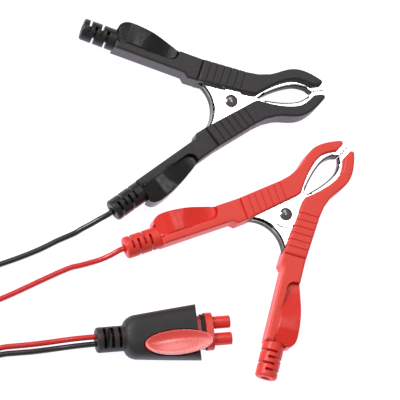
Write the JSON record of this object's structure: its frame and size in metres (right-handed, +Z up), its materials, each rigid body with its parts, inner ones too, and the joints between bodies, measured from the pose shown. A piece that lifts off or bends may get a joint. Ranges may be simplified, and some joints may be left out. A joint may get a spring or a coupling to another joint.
{
  "type": "battery charger clamp leads",
  "caption": "Quick-connect clamp leads of a car battery charger: red and black sprung clamps with ribbed grips, two wires and a round-pin plug with a thumb latch.",
  "frame": {"origin": "centre of the footprint of the clamps and the plug, on the surface they lie on", "axes": "+Z up, clamps open to +X, +Y from the plug towards the black clamp"},
  "size_m": [0.2359, 0.1802, 0.0173],
  "materials": {
    "black_cover": "satin moulded",
    "black_handle": "satin moulded",
    "black_boot": "soft moulded",
    "red_cover": "satin moulded",
    "red_handle": "satin moulded",
    "red_boot": "soft moulded",
    "jaw_steel": "bright plated",
    "rivet_steel": "bright plated",
    "spring_steel": "bright rolled",
    "tinned_copper": "tinned",
    "black_wire": "gloss extruded",
    "red_wire": "gloss extruded",
    "plug_shell": "fine matt moulded",
    "plug_insert": "gloss moulded",
    "seal_rubber": "moulded",
    "contact_brass": "turned",
    "latch_plastic": "gloss moulded",
    "tie_nylon": "moulded"
  },
  "bodies": {
    "lead_set": {"black_wired_jaw": "jaw_steel", "black_wired_cover": "black_cover", "black_wired_handle": "black_handle", "black_wired_boot": "black_boot", "black_leaf_spring": "spring_steel", "black_rivet": "rivet_steel", "black_crimp": "tinned_copper", "black_clamp_wire": "black_wire", "red_wired_jaw": "jaw_steel", "red_wired_cover": "red_cover", "red_wired_handle": "red_handle", "red_wired_boot": "red_boot", "red_leaf_spring": "spring_steel", "red_rivet": "rivet_steel", "red_crimp": "tinned_copper", "red_clamp_wire": "red_wire", "plug_housing": "plug_shell", "plug_insert": "plug_insert", "plug_seal": "seal_rubber", "red_contact": "contact_brass", "black_contact": "contact_brass", "latch_pin": "rivet_steel", "latch_spring": "spring_steel", "red_plug_wire": "red_wire", "black_plug_wire": "black_wire", "black_lead": "black_wire", "black_coil": "black_wire", "black_tail": "black_wire", "red_lead": "red_wire", "red_coil": "red_wire", "red_tail": "red_wire", "cable_tie": "tie_nylon"},
    "black_moving_arm": {"black_moving_jaw": "jaw_steel", "black_moving_cover": "black_cover", "black_moving_handle": "black_handle", "black_spare_boot": "black_boot"},
    "red_moving_arm": {"red_moving_jaw": "jaw_steel", "red_moving_cover": "red_cover", "red_moving_handle": "red_handle", "red_spare_boot": "red_boot"},
    "latch": {"plug_latch": "latch_plastic"}
  },
  "joints": [
    {"name": "black_clamp_hinge", "type": "hinge", "parent": "lead_set", "child": "black_moving_arm", "pos_m": [0.00668, 0.04796, 0.00725], "axis": [0, 0, 1], "range_deg": [0, 38], "stiffness_Nm_per_rad": 0.8, "springref_deg": -11.46, "deforming": ["black_leaf_spring"]},
    {"name": "red_clamp_hinge", "type": "hinge", "parent": "lead_set", "child": "red_moving_arm", "pos_m": [0.03112, -0.00882, 0.00725], "axis": [0, 0, -1], "range_deg": [0, 12], "stiffness_Nm_per_rad": 0.8, "springref_deg": -11.46, "deforming": ["red_leaf_spring"]},
    {"name": "latch_rocker", "type": "hinge", "parent": "lead_set", "child": "latch", "pos_m": [-0.02569, -0.0724, 0.0137], "axis": [0.0715, -0.9974, 0], "range_deg": [0, 4], "stiffness_Nm_per_rad": 0.05, "springref_deg": -2.86, "deforming": ["latch_spring"]}
  ]
}
